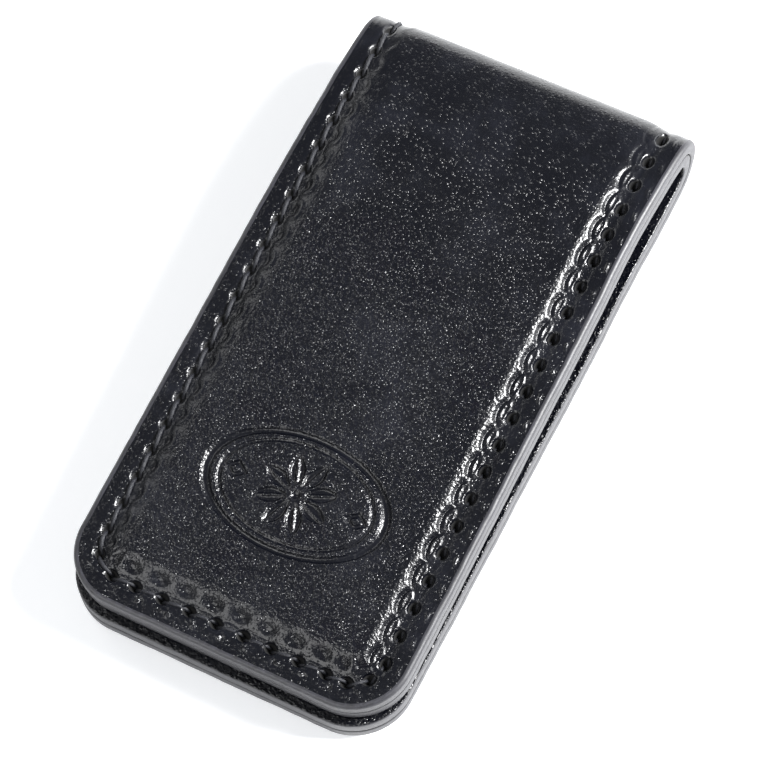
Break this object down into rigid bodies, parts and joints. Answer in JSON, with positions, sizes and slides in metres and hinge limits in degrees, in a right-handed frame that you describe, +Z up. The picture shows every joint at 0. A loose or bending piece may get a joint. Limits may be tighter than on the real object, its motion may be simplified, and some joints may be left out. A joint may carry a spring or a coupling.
{
  "type": "magnetic leather money clip",
  "caption": "Folded black leather strip with a raised stitched panel, whose two flaps open at the fold and are held shut by hidden magnets.",
  "frame": {"origin": "centre of the bounding box's base, on the surface that the lower flap's raised panel lies on", "axes": "+Z up, away from the surface it lies on; +Y towards the fold, with the open mouth at -Y; +X to the right of someone who faces the mouth end and looks along +Y"},
  "size_m": [0.045, 0.088, 0.0139],
  "materials": {
    "cover_leather": "fine-grained black cowhide with a semi-gloss finish and burnished edges",
    "lining_leather": "black leather lining with a duller, rougher grain",
    "filler_board": "bonded leather board, matt brown",
    "magnet_nickel": "nickel-plated disc magnet",
    "seam_thread": "waxed black polyester thread"
  },
  "bodies": {
    "lower_flap": {"outer_cover_lower": "cover_leather", "lining_lower": "lining_leather", "filler_board_lower": "filler_board", "magnet_lower_left": "magnet_nickel", "magnet_lower_right": "magnet_nickel", "needle_thread_lower": "seam_thread", "bobbin_thread_lower": "seam_thread"},
    "fold": {"outer_cover_fold": "cover_leather", "lining_fold": "lining_leather", "filler_fold": "filler_board", "needle_thread_fold_left": "seam_thread", "needle_thread_fold_right": "seam_thread", "bobbin_thread_fold_left": "seam_thread", "bobbin_thread_fold_right": "seam_thread"},
    "upper_flap": {"outer_cover_upper": "cover_leather", "lining_upper": "lining_leather", "filler_board_upper": "filler_board", "magnet_upper_left": "magnet_nickel", "magnet_upper_right": "magnet_nickel", "needle_thread_upper": "seam_thread", "bobbin_thread_upper": "seam_thread"}
  },
  "joints": [
    {"name": "lower_bend", "type": "hinge", "parent": "lower_flap", "child": "fold", "pos_m": [0, 0.04072, 0.00407], "axis": [-1, 0, 0], "range_deg": [0, 45], "stiffness_Nm_per_rad": 0.03, "springref_deg": -2.86, "deforming": ["outer_cover_fold", "lining_fold", "filler_fold", "needle_thread_fold_left", "needle_thread_fold_right", "bobbin_thread_fold_left", "bobbin_thread_fold_right"]},
    {"name": "upper_bend", "type": "hinge", "parent": "fold", "child": "upper_flap", "pos_m": [0, 0.04072, 0.00913], "axis": [-1, 0, 0], "range_deg": [0, 45], "stiffness_Nm_per_rad": 0.03, "springref_deg": -2.86}
  ],
  "couplings": [
    {"joint": "upper_bend", "follows": "lower_bend", "ratio": 1}
  ]
}
